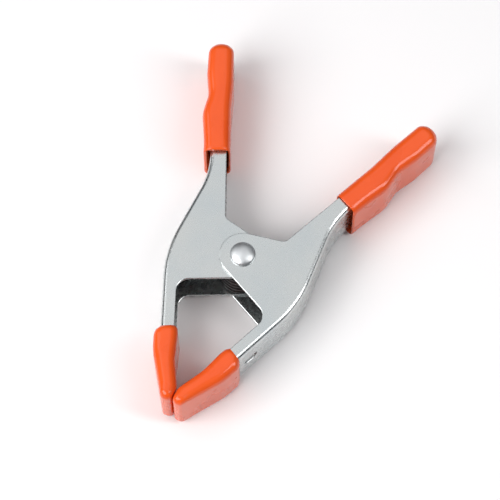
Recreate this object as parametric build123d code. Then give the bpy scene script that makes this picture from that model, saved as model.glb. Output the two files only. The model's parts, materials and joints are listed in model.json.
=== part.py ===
from build123d import *
import os
from math import acos, atan2, cos, floor, hypot, pi, sin

# A sheet-steel spring clamp, lying on its side. The pivot axis is Z, the jaws
# point along +X and the handles back along -X. The outer arm is the +Y one,
# and its ears stand outside the ears of the inner arm, its mirror image.
# All outlines are drawn about the pivot, for the +Y arm.

# Sheet and channels
SHEET = 1.2                # steel thickness
BEND_RADIUS = 0.7          # inside radius of the bend between spine and plates
OUTER_ARM_HEIGHT = 22.6    # outer arm, over its two plates
PLATE_GAP = 0.12           # between the plates of the two arms
EAR_RADIUS = 9.1           # rounded end of the ears, about the pivot

# Spine of an arm from the handle's end to the jaw's tip: x, y, corner radius
SPINE_CORNERS = [
    (-77.8, 48.1, 0),
    (-67.1, 43.9, 16),
    (-58.7, 39.3, 12),
    (-50.2, 38.1, 12),
    (-29.0, 27.0, 34),
    (10.0, 28.9, 50),
    (48.6, 13.0, 24),
    (62.0, 3.7, 0),
]
# Free edges of the plates, back from the jaw's tip to the window's corner, and
# from the corner of the notch behind the ears to the end of the handle
JAW_EDGE_CORNERS = [
    (62.0, 1.75, 0.5),
    (60.0, 1.75, 4),
    (50.0, 7.2, 16),
    (41.0, 10.3, 24),
    (19.3, 19.3, 5),
]
HANDLE_EDGE_CORNERS = [
    (-11.8, 12.9, 3),
    (-55.5, 32.3, 20),
    (-66.0, 36.1, 20),
    (-80.0, 42.3, 2.6),
]
HANDLE_END_RADIUS = 3.2    # outer corner of the handle's end

# Slot pierced through the jaw's spine
SLOT_X = 33.8
SLOT_LENGTH = 6.5
SLOT_WIDTH = 3.6

# Vinyl sleeves
SLEEVE_HEIGHT = 25.4       # the same over all four, so the clamp lies flat
SLEEVE_WALL = 1.5
SPINE_PAD = 0.9            # extra wall on the sleeves' spine side
SLEEVE_FIT = 0.05          # between steel and sleeve
GRIP_EDGE_RADIUS = 2.8     # rounding of the long edges
JAW_EDGE_RADIUS = 2.0
GRIP_END_WALL = 2.2
JAW_END_WALL = 3.6
GRIP_MOUTH = (-36.6, 27.7)   # middle of the grip's open end
GRIP_MOUTH_ANGLE = 65.5      # direction of the open end's edge, in degrees
JAW_MOUTH = (39.1, 14.4)
JAW_MOUTH_ANGLE = 62.0

# Pivot rivet, fast in the outer arm and running in the inner arm
RIVET_RADIUS = 3.2
RIVET_RUNNING_GAP = 0.05
HEAD_OVERHANG = 1.8        # the head's and the rolled end's reach past the shank
HEAD_HEIGHT = 2.3
HEAD_RIM = 0.3
TAIL_OVERHANG = 1.1
TAIL_HEIGHT = 1.1
TAIL_WALL = 1.2            # of the tube that is rolled over
TAIL_BORE_DEPTH = 6.0

# Torsion spring
WIRE_RADIUS = 1.45
COIL_RADIUS = 8.3          # to the middle of the wire
COIL_GAP = 0.15            # between turns
COIL_END_GAP = 0.05        # least room between the coil's ends and the plates
LEG_LENGTH = 50.0
LEG_OVERLAP = 1.0          # how far a leg runs into the coil's end
LEG_SWELL = 0.05           # a leg is this much fuller than the coil, so that they merge
LEG_GAP = 0.1              # between a leg and the spine it presses on

INNER_ARM_HEIGHT = OUTER_ARM_HEIGHT - 2 * (SHEET + PLATE_GAP)
FAR = 400                  # larger than the clamp


def points(corners):
    return [(x, y) for x, y, _ in corners]


def radii(corners):
    return [radius for _, _, radius in corners]


def beyond(start, end, length):
    """The point that lies length past end on the line from start."""
    run = hypot(end[0] - start[0], end[1] - start[1])
    share = length / run
    return (end[0] + (end[0] - start[0]) * share, end[1] + (end[1] - start[1]) * share)


def ear_tangent(corner, side):
    """Where a line from the corner touches the ear's round end (side +1 or -1)."""
    x, y, _ = corner
    angle = atan2(y, x) + side * acos(EAR_RADIUS / hypot(x, y))
    return (EAR_RADIUS * cos(angle), EAR_RADIUS * sin(angle))


def arm_outline(handle_extra=0.0, jaw_extra=0.0, spine_move=(0, 0)):
    """Side view of one arm, its ends made longer by the extras and its spine moved."""
    spine = [(x + spine_move[0], y + spine_move[1]) for x, y in points(SPINE_CORNERS)]
    jaw_edge = points(JAW_EDGE_CORNERS)
    handle_edge = points(HANDLE_EDGE_CORNERS)
    spine[0] = beyond(spine[1], spine[0], handle_extra)
    handle_edge[-1] = beyond(handle_edge[-2], handle_edge[-1], handle_extra)
    spine[-1] = beyond(spine[-2], spine[-1], jaw_extra)
    jaw_edge[0] = (spine[-1][0], jaw_edge[0][1])
    front = ear_tangent(JAW_EDGE_CORNERS[-1], -1)
    back = ear_tangent(HANDLE_EDGE_CORNERS[0], 1)
    spine_radii = [HANDLE_END_RADIUS] + radii(SPINE_CORNERS)[1:-1] + [0.5]
    rim = FilletPolyline(
        back, *handle_edge, *spine, *jaw_edge, front,
        radius=radii(HANDLE_EDGE_CORNERS) + spine_radii + radii(JAW_EDGE_CORNERS),
    )
    plate = make_face(rim.edges() + Polyline(front, (0, 0), back).edges())
    return plate + Circle(EAR_RADIUS)


def long_spine():
    """The spine's line with its end runs carried on far past the handle and the jaw."""
    spine = points(SPINE_CORNERS)
    start = beyond(spine[1], spine[0], FAR / 4)
    end = beyond(spine[-2], spine[-1], FAR / 4)
    return [start, *spine[1:-1], end]


def spine_block(depth, height, bend_radius):
    """A block that fills the open side of the spine, from a depth in, with rounded bends."""
    spine = long_spine()
    bends = radii(SPINE_CORNERS)[1:-1]
    low = [(spine[-1][0], -FAR), (spine[0][0], -FAR)]
    rim = FilletPolyline(low[1], *spine, low[0], radius=[0, *bends, 0])
    region = make_face(rim.edges() + Line(*low).edges())
    if depth > 0:
        region = offset(region, -depth)
    line = FilletPolyline(*spine, radius=bends)
    block = slab(region, height)
    edges = [
        edge for edge in block.edges().filter_by(Plane.XY)
        if line.distance_to(Vector((edge @ 0.5).X, (edge @ 0.5).Y, 0)) < depth + 0.01
    ]
    return fillet(edges, bend_radius)


def slab(face, height):
    """A face thickened evenly to both sides of the middle plane."""
    return extrude(face, amount=height / 2, both=True)


def arm(height, hole_radius):
    """A channel: two plates of the outline, and the spine that joins them."""
    body = slab(arm_outline(), height) & spine_block(0, height, BEND_RADIUS + SHEET)
    body -= spine_block(SHEET, height - 2 * SHEET, BEND_RADIUS)
    body -= Cylinder(hole_radius, 2 * height)
    return body - spine_slot()


def spine_slot():
    """The cutter of the slot through the jaw's spine."""
    (x0, y0), (x1, y1) = points(SPINE_CORNERS)[-3:-1]
    y = y0 + (y1 - y0) * (SLOT_X - x0) / (x1 - x0)
    along = Vector(x1 - x0, y1 - y0, 0).normalized()
    outward = Vector(-along.Y, along.X, 0)
    plane = Plane(origin=(SLOT_X, y, 0), x_dir=along, z_dir=outward)
    return extrude(plane * SlotOverall(SLOT_LENGTH, SLOT_WIDTH), amount=2 * SHEET, both=True)


def half_plane(middle, angle, side):
    """The part of the side view beyond a sleeve's open end (side -1: handle, +1: jaw)."""
    square = Pos(side * FAR / 2, 0) * Rectangle(FAR, FAR)
    return Pos(*middle) * Rot(0, 0, angle - 90) * square


def sleeve(arm_height, end_wall, edge_radius, mouth, mouth_angle, side):
    """A closed-end vinyl sleeve on the handle (side -1) or the jaw (side +1)."""
    middle, angle = Vector(*mouth), mouth_angle * pi / 180
    across = Vector(cos(angle), sin(angle), 0)
    normal = Vector(across.Y, -across.X, 0)
    extra = end_wall - SLEEVE_WALL
    pad = across * SPINE_PAD
    longer = arm_outline(max(-side, 0) * extra, max(side, 0) * extra, (pad.X, pad.Y))
    skin = offset(longer, SLEEVE_WALL + SLEEVE_FIT) & half_plane(mouth, mouth_angle, side)
    body = slab(skin, SLEEVE_HEIGHT)
    rims = [
        edge for edge in body.edges().filter_by(Plane.XY)
        if abs((edge @ 0.5 - middle).dot(normal)) > 0.01
    ]
    body = fillet(rims, edge_radius)
    cavity = offset(arm_outline(), SLEEVE_FIT)
    return body - slab(cavity, arm_height + 2 * SLEEVE_FIT)


def rivet():
    """Semi-tubular rivet: domed head above, hollow rolled end below."""
    top = OUTER_ARM_HEIGHT / 2
    rim = top + HEAD_RIM
    head = RIVET_RADIUS + HEAD_OVERHANG
    dome_middle = (head * sin(pi / 5), rim + (HEAD_HEIGHT - HEAD_RIM) * cos(pi / 5))
    roll = TAIL_HEIGHT / 2
    roll_middle = RIVET_RADIUS + TAIL_OVERHANG - roll
    bore = RIVET_RADIUS - TAIL_WALL
    low = -top - TAIL_HEIGHT
    profile = [
        Line((0, -top), (0, top + HEAD_HEIGHT)),
        ThreePointArc((0, top + HEAD_HEIGHT), dome_middle, (head, rim)),
        Polyline((head, rim), (head, top), (RIVET_RADIUS, top), (RIVET_RADIUS, -top)),
        Line((RIVET_RADIUS, -top), (roll_middle, -top)),
        ThreePointArc((roll_middle, -top), (roll_middle + roll, -top - roll), (roll_middle, low)),
        Polyline((roll_middle, low), (RIVET_RADIUS, low), (bore, -top), (0, -top)),
    ]
    edges = [edge for part in profile for edge in part.edges()]
    body = revolve(Plane.XZ * make_face(edges), axis=Axis.Z)
    return body - Pos(0, 0, -top) * Cylinder(bore, 2 * TAIL_BORE_DEPTH)


def leg_line():
    """The +Y leg in the side view: where it leaves the coil, and its direction."""
    (x0, y0), (x1, y1) = points(SPINE_CORNERS)[3:5]
    run = hypot(x1 - x0, y1 - y0)
    inward = Vector(y1 - y0, x0 - x1, 0) / run
    rest = Vector(*GRIP_MOUTH, 0)
    start = Vector(x0, y0, 0)
    depth = (rest - start).dot(inward)
    target = rest + inward * (SHEET + WIRE_RADIUS + LEG_SWELL + LEG_GAP - depth)
    angle = atan2(target.Y, target.X) - acos(COIL_RADIUS / target.length)
    leave = Vector(COIL_RADIUS * cos(angle), COIL_RADIUS * sin(angle), 0)
    return leave, (target - leave).normalized(), angle


def spring():
    """A coil that fills the room between the plates, with a tangent leg in each handle."""
    leave, way, angle = leg_line()
    pitch = 2 * WIRE_RADIUS + COIL_GAP
    room = INNER_ARM_HEIGHT - 2 * (SHEET + WIRE_RADIUS + COIL_END_GAP)
    whole_turns = floor(room / pitch - angle / pi)
    sweep_angle = 2 * pi * whole_turns + 2 * angle
    height = pitch * sweep_angle / (2 * pi)
    path = Pos(0, 0, -height / 2) * Helix(pitch, height, COIL_RADIUS)
    turned = Rot(0, 0, (angle - sweep_angle) * 180 / pi) * path
    section = Plane(origin=turned @ 0, z_dir=turned % 0) * Circle(WIRE_RADIUS)
    wire = sweep(section, path=turned, is_frenet=True)
    for sign in (1, -1):
        along = Vector(way.X, sign * way.Y, 0)
        start = Vector(leave.X, sign * leave.Y, sign * height / 2) - along * LEG_OVERLAP
        around = (Align.CENTER, Align.CENTER, Align.MIN)
        leg = Cylinder(WIRE_RADIUS + LEG_SWELL, LEG_LENGTH, align=around)
        wire += Plane(origin=start, z_dir=along) * leg
    return wire


def mirrored(shape):
    return mirror(shape, about=Plane.XZ)


def build():
    grip = (GRIP_END_WALL, GRIP_EDGE_RADIUS, GRIP_MOUTH, GRIP_MOUTH_ANGLE, -1)
    jaw = (JAW_END_WALL, JAW_EDGE_RADIUS, JAW_MOUTH, JAW_MOUTH_ANGLE, 1)
    return {
        "outer_arm": arm(OUTER_ARM_HEIGHT, RIVET_RADIUS),
        "inner_arm": mirrored(arm(INNER_ARM_HEIGHT, RIVET_RADIUS + RIVET_RUNNING_GAP)),
        "outer_handle_grip": sleeve(OUTER_ARM_HEIGHT, *grip),
        "inner_handle_grip": mirrored(sleeve(INNER_ARM_HEIGHT, *grip)),
        "outer_jaw_sleeve": sleeve(OUTER_ARM_HEIGHT, *jaw),
        "inner_jaw_sleeve": mirrored(sleeve(INNER_ARM_HEIGHT, *jaw)),
        "pivot_rivet": rivet(),
        "torsion_spring": spring(),
    }


pieces = build()
boxes = [piece.bounding_box() for piece in pieces.values()]
low, high = min(box.min.X for box in boxes), max(box.max.X for box in boxes)
to_origin = Pos(-(low + high) / 2, 0, -min(box.min.Z for box in boxes))
os.makedirs("parts", exist_ok=True)
for name, piece in pieces.items():
    export_step(to_origin * piece, f"parts/{name}.step")
print("pivot x", round(to_origin.position.X, 4), "middle plane z", round(to_origin.position.Z, 4))
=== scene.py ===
import json
from math import acos, atan2, cos, pi, radians, sin, sqrt

import bmesh
import bpy
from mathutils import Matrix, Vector
from mathutils.bvhtree import BVHTree


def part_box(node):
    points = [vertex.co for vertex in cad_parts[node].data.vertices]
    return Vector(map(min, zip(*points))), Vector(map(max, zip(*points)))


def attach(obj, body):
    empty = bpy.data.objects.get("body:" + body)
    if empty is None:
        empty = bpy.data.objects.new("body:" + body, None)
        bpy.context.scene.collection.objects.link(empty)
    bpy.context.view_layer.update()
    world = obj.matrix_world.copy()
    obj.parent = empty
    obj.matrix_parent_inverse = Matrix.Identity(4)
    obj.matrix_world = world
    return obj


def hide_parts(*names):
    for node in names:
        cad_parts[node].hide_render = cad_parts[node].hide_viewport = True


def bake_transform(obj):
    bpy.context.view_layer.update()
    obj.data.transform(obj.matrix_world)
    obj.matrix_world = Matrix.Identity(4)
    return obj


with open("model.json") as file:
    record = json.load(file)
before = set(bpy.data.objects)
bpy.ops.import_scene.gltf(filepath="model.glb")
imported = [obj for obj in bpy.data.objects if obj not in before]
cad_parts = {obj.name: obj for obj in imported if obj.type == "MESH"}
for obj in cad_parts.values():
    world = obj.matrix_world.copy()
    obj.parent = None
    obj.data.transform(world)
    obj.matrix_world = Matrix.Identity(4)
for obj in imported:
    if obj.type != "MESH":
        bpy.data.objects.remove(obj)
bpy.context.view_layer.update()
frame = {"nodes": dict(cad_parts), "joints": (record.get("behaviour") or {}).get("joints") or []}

MM = 0.001
UP = Vector((0, 0, 1))

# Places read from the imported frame
PIVOT = Vector(frame["joints"][0]["pos_m"])
MIDDLE_Z = PIVOT.z
OUTER_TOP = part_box("outer_arm")[1].z - MIDDLE_Z
INNER_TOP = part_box("inner_arm")[1].z - MIDDLE_Z
SLEEVE_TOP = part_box("outer_handle_grip")[1].z - MIDDLE_Z

# Camera: it looks down from the jaws' side, 22 degrees off the vertical
VIEW_AZIMUTH = 114.6
VIEW_ELEVATION = 68
VIEW_DISTANCE = 0.85
VIEW_LENS = 155
VIEW_AIM = PIVOT + Vector((-6.85, 0, 0.5)) * MM

# Directions in plan, in degrees, for the +Y arm: a sleeve's mouth and its closed end
GRIP_HEADINGS = (155.5, 159.2)
JAW_HEADINGS = (-28.0, 0.0)

# Steel sheet
SHEARED_EDGE = 0.22 * MM       # rounding left on the stamped edges
SHEARED_ANGLE = radians(50)    # edges sharper than this are sheared ones
EDGE_MERGE = 0.05 * MM         # shorter steps along the CAD outline are joined
LEVEL = 0.9999                 # upward part of a plate's normal, at the least
FLAT_ANGLE = radians(0.5)      # faces of a plate that differ less are joined
SMOOTH_ANGLE = radians(21)     # less than from a plate to its sheared edge
SLIVER = 0.002 * MM * MM       # faces under this area have no normal of their own

# Sleeves: their rings, and sizes that the grips and the jaw sleeves share
RING = 80                      # points round a sleeve
CORNER_PART = (3, 5)           # so many of a quarter's points go round its corner
CORNER_MOST = 0.96             # of a half side, so that some of the side stays flat
CORNER_FULLNESS = 2.25         # 2 would be a round corner
STATIONS = 90                  # rings along a sleeve, if they were evenly spaced
END_SHARE = 0.88               # of the length, where the closer rings of the end begin
END_STEPS = 14
EDGE_SHARE = 0.0005            # of the length, from each end to its nearest ring
END_FLAT = 0.02 * MM           # depth in which the points of a flat end are found
RAY_START = 100 * MM           # well outside any sleeve
LIP = 0.35 * MM                # how far the lip's round stands out of the mouth
LIP_STEPS = 6
CAVITY_CORNER = 0.8 * MM
SHOULDER_ROOM = 1.4 * MM       # vinyl over the steel that shoulder_top is given for
TIP_HALF_HEIGHT = 0.3 * MM     # least half height, at the closed end
TOP_WALL = 0.45 * MM           # least wall over the hollow

# Rivet
SHANK_RADIUS = 3.2 * MM
HEAD_RIM = 0.3 * MM            # height of the straight rim under the dome
RIM_EASE = 0.1 * MM
TAIL_OVERHANG = 1.1 * MM       # how far the rolled end stands out from the shank
BORE_RADIUS = 2.0 * MM
BORE_DEPTH = 6.0 * MM
RIVET_CREASE = radians(40)     # sharper edges stay crisp
RIVET_AROUND = 96
DOME_STEPS = 18
ROLL_STEPS = 10

# Torsion spring
WIRE = 1.45 * MM               # radius
COIL_RADIUS = 8.3 * MM
COIL_TURNS = 4
LEG_SWELL = 0.05 * MM          # the CAD legs are this much fuller than the wire
LEG_TIP_IN = (0.45, 0.9)       # wire radii from the box's sides to the leg's end
LEG_STEPS = 14
COIL_STEPS = 300
WIRE_AROUND = 20

# Floor
FLOOR_HALF = 3.0
FLOOR_DROP = 0.05 * MM


def mesh_object(name, vertices, faces):
    """A smooth-shaded object with its normals facing outwards."""
    mesh = bpy.data.meshes.new(name)
    mesh.from_pydata([tuple(v) for v in vertices], [], faces)
    fix = bmesh.new()
    fix.from_mesh(mesh)
    bmesh.ops.recalc_face_normals(fix, faces=fix.faces)
    for face in fix.faces:
        face.smooth = True
    fix.to_mesh(mesh)
    fix.free()
    made = bpy.data.objects.new(name, mesh)
    bpy.context.scene.collection.objects.link(made)
    return made


def lofted(name, rings, tips):
    """A closed skin through rings of as many points, with a tip in each end."""
    around = len(rings[0])
    vertices = [point for ring in rings for point in ring]
    last = len(vertices) - around
    faces = []
    for base in range(0, last, around):
        for k in range(around):
            j = (k + 1) % around
            faces.append((base + k, base + j, base + around + j, base + around + k))
    for base, tip in zip((0, last), tips):
        faces += [(len(vertices), base + k, base + (k + 1) % around) for k in range(around)]
        vertices.append(tip)
    return mesh_object(name, vertices, faces)


# ---------------------------------------------------------------- materials

def new_material(name):
    material = bpy.data.materials.new(name)
    material.use_nodes = True
    tree = material.node_tree
    return material, tree, tree.nodes["Principled BSDF"]


def noise(tree, scale, detail=3.0, roughness=0.5):
    """Noise in the frame's own metres, so its scale is in features per metre."""
    place = tree.nodes.new("ShaderNodeTexCoord")
    made = tree.nodes.new("ShaderNodeTexNoise")
    made.inputs["Scale"].default_value = scale
    made.inputs["Detail"].default_value = detail
    made.inputs["Roughness"].default_value = roughness
    tree.links.new(place.outputs["Object"], made.inputs["Vector"])
    return made.outputs["Fac"]


def ramp(tree, source, low, high, start=0.3, end=0.7):
    """A ramp from low to high, grey levels or colours, over a texture."""
    made = tree.nodes.new("ShaderNodeValToRGB")
    for element, place, value in zip(made.color_ramp.elements, (start, end), (low, high)):
        element.position = place
        element.color = (value, value, value, 1) if isinstance(value, float) else (*value, 1)
    tree.links.new(source, made.inputs["Fac"])
    return made.outputs["Color"]


def bump(tree, source, shader, strength, distance, below=None):
    """A bump from a texture, on top of another one if below is given."""
    made = tree.nodes.new("ShaderNodeBump")
    made.inputs["Strength"].default_value = strength
    made.inputs["Distance"].default_value = distance
    tree.links.new(source, made.inputs["Height"])
    if below:
        tree.links.new(below.outputs["Normal"], made.inputs["Normal"])
    tree.links.new(made.outputs["Normal"], shader.inputs["Normal"])
    return made


def zinc_steel():
    """Zinc plated sheet: satin and blue-grey, with faint clouds and a fine grain."""
    material, tree, shader = new_material("zinc_steel")
    shader.inputs["Metallic"].default_value = 1.0
    clouds = noise(tree, 45, 3.0, 0.55)
    tone = ramp(tree, clouds, (0.575, 0.615, 0.625), (0.635, 0.65, 0.64))
    tree.links.new(tone, shader.inputs["Base Color"])
    spangle = noise(tree, 420, 4.0, 0.65)
    tree.links.new(ramp(tree, spangle, 0.25, 0.30), shader.inputs["Roughness"])
    waves = bump(tree, clouds, shader, 0.05, 0.0002)
    bump(tree, spangle, shader, 0.012, 0.00001, waves)
    return material


def bright_rivet():
    """Polished steel with the faint marks of the riveting tool."""
    material, tree, shader = new_material("bright_rivet")
    shader.inputs["Metallic"].default_value = 1.0
    marks = noise(tree, 300, 3.0, 0.6)
    tone = ramp(tree, marks, (0.68, 0.70, 0.71), (0.76, 0.78, 0.79))
    tree.links.new(tone, shader.inputs["Base Color"])
    tree.links.new(ramp(tree, marks, 0.42, 0.50), shader.inputs["Roughness"])
    bump(tree, marks, shader, 0.06, 0.00004)
    return material


def orange_vinyl():
    """Glossy soft vinyl: an even orange with the faint waves of a moulded skin."""
    material, tree, shader = new_material("orange_vinyl")
    waves = noise(tree, 70, 2.0)
    tone = ramp(tree, waves, (0.78, 0.088, 0.012), (0.84, 0.104, 0.016))
    tree.links.new(tone, shader.inputs["Base Color"])
    tree.links.new(ramp(tree, waves, 0.24, 0.32), shader.inputs["Roughness"])
    shader.inputs["Specular IOR Level"].default_value = 0.10
    shader.inputs["Coat Weight"].default_value = 0.60
    shader.inputs["Coat Roughness"].default_value = 0.13
    bump(tree, waves, shader, 0.05, 0.0002)
    return material


def black_spring_steel():
    """Oil-blackened wire with a little scale."""
    material, tree, shader = new_material("black_spring_steel")
    shader.inputs["Metallic"].default_value = 0.85
    scale = noise(tree, 700, 4.0, 0.6)
    tone = ramp(tree, scale, (0.018, 0.018, 0.020), (0.050, 0.048, 0.046))
    tree.links.new(tone, shader.inputs["Base Color"])
    tree.links.new(ramp(tree, scale, 0.30, 0.45), shader.inputs["Roughness"])
    bump(tree, scale, shader, 0.15, 0.00008)
    return material


def floor_paint():
    """Pale satin paint, with tones that drift a little over the floor."""
    material, tree, shader = new_material("pale_floor")
    shader.inputs["Roughness"].default_value = 0.45
    clouds = noise(tree, 4, 2.0)
    tone = ramp(tree, clouds, (0.90, 0.885, 0.885), (0.92, 0.905, 0.905))
    tree.links.new(tone, shader.inputs["Base Color"])
    return material


def dress(piece, material):
    piece.data.materials.clear()
    piece.data.materials.append(material)


# ---------------------------------------------------------------- steel arms

def is_plate(face):
    """The flat plates lie level, unlike the bend, the spine and the sheared edges."""
    return abs(face.normal.z) > LEVEL


def sheet_normal(loop):
    """A corner's normal: flat on the plates, running smoothly round the bend."""
    face = loop.face
    sliver = face.calc_area() < SLIVER
    if is_plate(face) and not sliver:
        return face.normal.copy()
    total = Vector()
    for other in loop.vert.link_loops:
        normal, area = other.face.normal, other.face.calc_area()
        if area >= SLIVER and (sliver or normal.angle(face.normal, pi) < SMOOTH_ANGLE):
            if is_plate(other.face):
                return normal.copy()
            total += normal * other.calc_angle() * area
    return total.normalized() if total.length else face.normal.copy()


def stamped_arm(name, body, steel):
    """The arm's sheet with its CAD faces welded and its sheared edges eased."""
    made = bpy.data.objects.new(f"{name}_sheet", frame["nodes"][name].data.copy())
    bpy.context.scene.collection.objects.link(made)
    mesh = bmesh.new()
    mesh.from_mesh(made.data)
    bmesh.ops.remove_doubles(mesh, verts=mesh.verts, dist=EDGE_MERGE)
    level = [e for e in mesh.edges if all(is_plate(f) for f in e.link_faces)]
    bmesh.ops.dissolve_limit(mesh, angle_limit=FLAT_ANGLE, verts=[], edges=level)
    mesh.normal_update()
    sheared = [e for e in mesh.edges if e.is_manifold and e.calc_face_angle() > SHEARED_ANGLE]
    bmesh.ops.bevel(
        mesh, geom=sheared, offset=SHEARED_EDGE, offset_type="OFFSET", segments=2,
        profile=0.5, affect="EDGES", clamp_overlap=False,
    )
    mesh.normal_update()
    for face in mesh.faces:
        face.smooth = True
    normals = [sheet_normal(loop) for face in mesh.faces for loop in face.loops]
    mesh.to_mesh(made.data)
    mesh.free()
    made.data.normals_split_custom_set(normals)
    dress(made, steel)
    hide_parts(name)
    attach(made, body)


# ---------------------------------------------------------------- sleeves

# Millimetre sizes of a sleeve's skin. "in" is the side of the plates' free
# edges, "out" the spine's side. Walls and the room over the steel are given
# deep inside and at the mouth; shoulders draw the skin in at the mouth.
GRIP_LOOK = {
    "corner": 4.0, "end_round": 4.2, "end_wall": 2.4,
    "wall_in": (1.42, 0.95), "wall_out": (2.3, 1.25), "room": (0.2, 0.75), "room_length": 9,
    "flare": 0.35, "flare_length": 7, "shoulder_length": 0.6,
    "shoulder_in": 0.12, "shoulder_out": 0.12, "shoulder_top": 0.10,
}
JAW_LOOK = {
    "corner": 3.6, "end_round": 3.0, "end_wall": 3.8,
    "wall_in": (1.42, 1.40), "wall_out": (2.3, 2.25), "room": (0.15, 0.15), "room_length": 3,
    "flare": 0.0, "flare_length": 5, "shoulder_length": 3.2,
    "shoulder_in": 0.75, "shoulder_out": 1.75, "shoulder_top": 0.55,
}


def plan_direction(heading, mirror):
    """A heading of the +Y arm as a vector, or its mirror image for the other arm."""
    angle = radians(heading)
    return Vector((cos(angle), mirror * sin(angle), 0))


def end_middle(points, direction):
    """The middle of a node's flat end, furthest along a direction, at mid height."""
    furthest = max(p.dot(direction) for p in points)
    end = [p for p in points if p.dot(direction) > furthest - END_FLAT]
    xs, ys = [p.x for p in end], [p.y for p in end]
    return Vector(((min(xs) + max(xs)) / 2, (min(ys) + max(ys)) / 2, MIDDLE_Z))


def bezier(ends, directions, t):
    """A point on the sleeve's middle line and the line's unit direction there."""
    reach = (ends[1] - ends[0]).length / 3
    a, d = ends
    b, c = a + directions[0] * reach, d - directions[1] * reach
    u = 1 - t
    point = a * u**3 + b * (3 * u * u * t) + c * (3 * u * t * t) + d * t**3
    way = (b - a) * (3 * u * u) + (c - b) * (6 * u * t) + (d - c) * (3 * t * t)
    return point, way.normalized()


def rounded(most, length, gone):
    """How far a quarter ellipse still draws in, after so much of its length is gone."""
    if gone >= length:
        return 0.0
    return most * (1 - sqrt(1 - (1 - gone / length) ** 2))


def soft(value):
    """The reach of a corner's curve, a little fuller than a circle's."""
    return max(value, 0.0) ** (2 / CORNER_FULLNESS)


def ring_points(middle, across, low, high, half_height, corner):
    """A rectangle with soft corners, fuller than round ones, across a sleeve's length."""
    half = (high - low) / 2
    centre = middle + across * (high + low) / 2
    corner = min(corner, half * CORNER_MOST, half_height * CORNER_MOST)
    quarter = RING // 4
    turn = quarter * CORNER_PART[0] // CORNER_PART[1]
    flat = quarter - turn
    points = []
    for side, (sx, sz) in enumerate(((1, 1), (-1, 1), (-1, -1), (1, -1))):
        cx, cz = sx * (half - corner), sz * (half_height - corner)
        for step in range(turn + 1):
            a = step / turn * pi / 2
            reach_x, reach_z = soft(cos(a)) * corner, soft(sin(a)) * corner
            if side % 2:
                reach_x, reach_z = reach_z, reach_x
            points.append((cx + sx * reach_x, cz + sz * reach_z))
        nx, nz = (-cx, cz) if side % 2 == 0 else (cx, -cz)
        last_x, last_z = points[-1]
        for step in range(1, flat):
            share = step / flat
            points.append((last_x + (nx - cx) * share, last_z + (nz - cz) * share))
    return [centre + across * x + UP * z for x, z in points]


def ring_shares():
    """Where the rings stand along a sleeve: even at first, closer towards the closed end."""
    even = [i / STATIONS for i in range(1, STATIONS) if i / STATIONS < END_SHARE]
    rest = 1 - EDGE_SHARE - END_SHARE
    end = [END_SHARE + rest * sin(k / END_STEPS * pi / 2) for k in range(END_STEPS + 1)]
    return [EDGE_SHARE] + even + end


def sleeve(name, body, headings, mirror, steel_top, look, vinyl):
    """A closed-end vinyl sleeve, lofted along the CAD sleeve's own outline."""
    size = {
        key: [v * MM for v in value] if isinstance(value, tuple) else value * MM
        for key, value in look.items()
    }
    directions = [plan_direction(h, mirror) for h in headings]
    cad = frame["nodes"][name]
    tree = BVHTree.FromObject(cad, bpy.context.evaluated_depsgraph_get())
    corners = [v.co for v in cad.data.vertices]
    ends = [end_middle(corners, -directions[0]), end_middle(corners, directions[1])]
    draw_in = size["shoulder_top"] * (SLEEVE_TOP - steel_top) / SHOULDER_ROOM

    outer, inner = [], []
    for share in ring_shares():
        middle, way = bezier(ends, directions, share)
        across = UP.cross(way)
        if across.y * mirror < 0:
            across = -across
        # the CAD sleeve's two sides, met by a ray from outside
        sides = []
        for sign in (-1, 1):
            hit = tree.ray_cast(middle + across * sign * RAY_START, -across * sign)[0]
            sides.append((hit - middle).dot(across) if hit else 0.0)
        low, high = sides
        gone = (middle - ends[0]).dot(directions[0])
        left = (ends[1] - middle).dot(directions[1])

        high += size["flare"] * max(0, 1 - gone / size["flare_length"]) ** 2
        skin_low = low + rounded(size["shoulder_in"], size["shoulder_length"], gone)
        skin_high = high - rounded(size["shoulder_out"], size["shoulder_length"], gone)
        half_height = SLEEVE_TOP - rounded(draw_in, size["shoulder_length"], gone)
        half_height -= rounded(size["end_round"], size["end_round"], left)
        half_height = max(half_height, TIP_HALF_HEIGHT)
        outer.append(
            ring_points(middle, across, skin_low, skin_high, half_height, size["corner"])
        )
        if left > size["end_wall"]:
            mouth = max(0, 1 - gone / size["room_length"]) ** 2
            wall_in, wall_out, room = (
                deep + (at_mouth - deep) * mouth
                for deep, at_mouth in (size["wall_in"], size["wall_out"], size["room"])
            )
            top = min(steel_top + room, half_height - TOP_WALL)
            inner.append(
                ring_points(middle, across, low + wall_in, high - wall_out, top, CAVITY_CORNER)
            )
    lip = []
    for k in range(1, LIP_STEPS):
        a = k / LIP_STEPS * pi
        inwards = (1 - cos(a)) / 2
        out = directions[0] * LIP * sin(a)
        lip.append([p + (q - p) * inwards - out for p, q in zip(outer[0], inner[0])])

    rings = outer[::-1] + lip + inner
    tips = [sum(ring, Vector()) / RING for ring in (rings[0], rings[-1])]
    piece = lofted(f"{name}_skin", rings, tips)
    dress(piece, vinyl)
    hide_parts(name)
    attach(piece, body)


# ---------------------------------------------------------------- rivet

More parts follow.
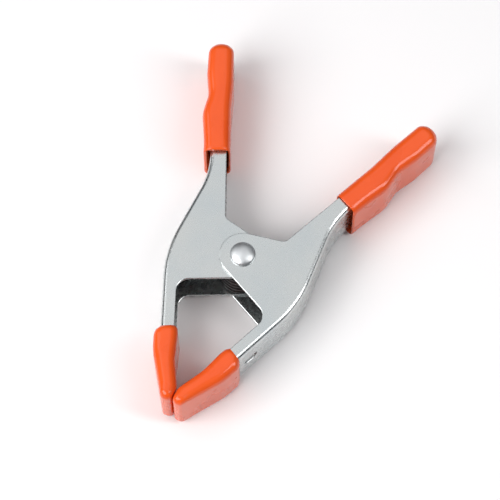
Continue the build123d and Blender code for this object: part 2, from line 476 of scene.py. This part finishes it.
def rivet_profile():
    """Radii and heights about the pivot, from the head's crown down to the bore's end."""
    low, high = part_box("pivot_rivet")
    head = (high.x - low.x) / 2
    top, bottom = high.z - MIDDLE_Z, low.z - MIDDLE_Z
    rim = OUTER_TOP + HEAD_RIM
    dome = [k / DOME_STEPS * pi / 2 for k in range(DOME_STEPS + 1)]
    points = [(head * sin(a), rim + (top - rim) * cos(a)) for a in dome]
    points += [(head, OUTER_TOP + RIM_EASE), (head - RIM_EASE, OUTER_TOP)]
    points += [(SHANK_RADIUS, OUTER_TOP), (SHANK_RADIUS, -OUTER_TOP)]
    roll = (-OUTER_TOP - bottom) / 2
    middle = SHANK_RADIUS + TAIL_OVERHANG - roll
    turns = [k / ROLL_STEPS * pi for k in range(ROLL_STEPS + 1)]
    points += [(middle + roll * sin(a), -OUTER_TOP - roll + roll * cos(a)) for a in turns]
    points += [(SHANK_RADIUS, bottom), (BORE_RADIUS, -OUTER_TOP)]
    return points + [(BORE_RADIUS, BORE_DEPTH - OUTER_TOP), (0, BORE_DEPTH - OUTER_TOP)]


def rivet(bright):
    """The semi-tubular rivet, turned about the pivot: domed head, shank, rolled end."""
    profile = rivet_profile()
    turns = [2 * pi * k / RIVET_AROUND for k in range(RIVET_AROUND)]
    rings = [
        [PIVOT + Vector((radius * cos(a), radius * sin(a), height)) for a in turns]
        for radius, height in profile[1:-1]
    ]
    tips = [PIVOT + UP * height for _, height in (profile[0], profile[-1])]
    made = lofted("pivot_rivet_turned", rings, tips)
    made.data.set_sharp_from_angle(angle=RIVET_CREASE)
    dress(made, bright)
    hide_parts("pivot_rivet")
    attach(made, "outer_half")


# ---------------------------------------------------------------- spring

def spring_path():
    """The wire's middle line about the pivot, leg, coil and leg, and the legs' height."""
    low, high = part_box("torsion_spring")
    half = (high.z - low.z) / 2 - WIRE - LEG_SWELL
    end = Vector((low.x - PIVOT.x + WIRE * LEG_TIP_IN[0], high.y - WIRE * LEG_TIP_IN[1], 0))
    angle = atan2(end.y, end.x) - acos(COIL_RADIUS / end.length)
    leave = Vector((COIL_RADIUS * cos(angle), COIL_RADIUS * sin(angle), 0))
    total = 2 * pi * COIL_TURNS + 2 * angle
    first = [leave + (end - leave) * (1 - k / LEG_STEPS) for k in range(LEG_STEPS)]
    path = [Vector((p.x, -p.y, -half)) for p in first]
    for k in range(COIL_STEPS + 1):
        a = -angle + total * k / COIL_STEPS
        rise = half * (2 * k / COIL_STEPS - 1)
        path.append(Vector((COIL_RADIUS * cos(a), COIL_RADIUS * sin(a), rise)))
    last = [leave + (end - leave) * k / LEG_STEPS for k in range(1, LEG_STEPS + 1)]
    return path + [Vector((p.x, p.y, half)) for p in last], half


def spring(black):
    """The black wire: a coil round the rivet and a leg inside each handle."""
    path, half = spring_path()
    turns = [2 * pi * k / WIRE_AROUND for k in range(WIRE_AROUND)]
    rings = []
    for i, point in enumerate(path):
        before, after = path[max(i - 1, 0)], path[min(i + 1, len(path) - 1)]
        way = (after - before).normalized()
        side = way.cross(UP).normalized()
        lift = side.cross(way)
        rings.append([PIVOT + point + side * WIRE * cos(a) + lift * WIRE * sin(a) for a in turns])
    made = lofted("torsion_spring_wire", rings, [PIVOT + path[0], PIVOT + path[-1]])
    dress(made, black)
    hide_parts("torsion_spring")
    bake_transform(made)


# ---------------------------------------------------------------- stage

def stage():
    corners = [(x * FLOOR_HALF, y * FLOOR_HALF, 0) for x, y in ((-1, -1), (1, -1), (1, 1), (-1, 1))]
    floor = mesh_object("studio_floor", corners, [(0, 1, 2, 3)])
    floor.location.z = -FLOOR_DROP
    dress(floor, floor_paint())


def from_view(right, down, up, distance):
    """A place given by the photographer's directions: right, towards the jaws, and up."""
    azimuth = radians(VIEW_AZIMUTH)
    right_way = Vector((cos(azimuth), sin(azimuth), 0))
    down_way = Vector((sin(azimuth), -cos(azimuth), 0))
    return (right_way * right + down_way * down + UP * up).normalized() * distance


def area_light(name, place, size, power):
    """A white soft box that faces the object."""
    data = bpy.data.lights.new(name, "AREA")
    data.shape = "RECTANGLE"
    data.size, data.size_y = size
    data.energy = power
    made = bpy.data.objects.new(name, data)
    made.location = place
    made.rotation_mode = "QUATERNION"
    made.rotation_quaternion = (-place).to_track_quat("-Z", "Y")
    bpy.context.scene.collection.objects.link(made)


def lights():
    area_light("overhead", from_view(0, -0.375, 0.927, 1.3), (1.0, 1.0), 2.6)
    area_light("key", from_view(-0.62, 0.35, 0.70, 1.3), (1.0, 1.0), 17.5)
    area_light("right_strip", from_view(0.62, 0.14, 0.72, 1.2), (0.28, 0.9), 5.4)
    area_light("left_strip", from_view(-0.60, -0.34, 0.72, 1.2), (0.28, 0.8), 1.2)
    world = bpy.data.worlds.new("soft_studio")
    bpy.context.scene.world = world
    world.use_nodes = True
    tree = world.node_tree
    place = tree.nodes.new("ShaderNodeTexCoord")
    split = tree.nodes.new("ShaderNodeSeparateXYZ")
    tree.links.new(place.outputs["Generated"], split.inputs["Vector"])
    # the room is dim near the horizon and pale above
    tone = ramp(tree, split.outputs["Z"], (0.022, 0.027, 0.034), (0.13, 0.135, 0.145), 0.30, 0.60)
    tree.links.new(tone, tree.nodes["Background"].inputs["Color"])


def camera():
    back = from_view(0, cos(radians(VIEW_ELEVATION)), sin(radians(VIEW_ELEVATION)), 1)
    data = bpy.data.cameras.new("photo_camera")
    data.lens = VIEW_LENS
    made = bpy.data.objects.new("photo_camera", data)
    made.location = VIEW_AIM + back * VIEW_DISTANCE
    made.rotation_mode = "QUATERNION"
    made.rotation_quaternion = (-back).to_track_quat("-Z", "Y")
    bpy.context.scene.collection.objects.link(made)
    bpy.context.scene.camera = made


camera()
lights()
stage()
STEEL = zinc_steel()
VINYL = orange_vinyl()
stamped_arm("outer_arm", "outer_half", STEEL)
stamped_arm("inner_arm", "inner_half", STEEL)
sleeve("outer_handle_grip", "outer_half", GRIP_HEADINGS, 1, OUTER_TOP, GRIP_LOOK, VINYL)
sleeve("inner_handle_grip", "inner_half", GRIP_HEADINGS, -1, INNER_TOP, GRIP_LOOK, VINYL)
sleeve("outer_jaw_sleeve", "outer_half", JAW_HEADINGS, 1, OUTER_TOP, JAW_LOOK, VINYL)
sleeve("inner_jaw_sleeve", "inner_half", JAW_HEADINGS, -1, INNER_TOP, JAW_LOOK, VINYL)
rivet(bright_rivet())
spring(black_spring_steel())
bpy.context.scene.view_settings.view_transform = "Standard"
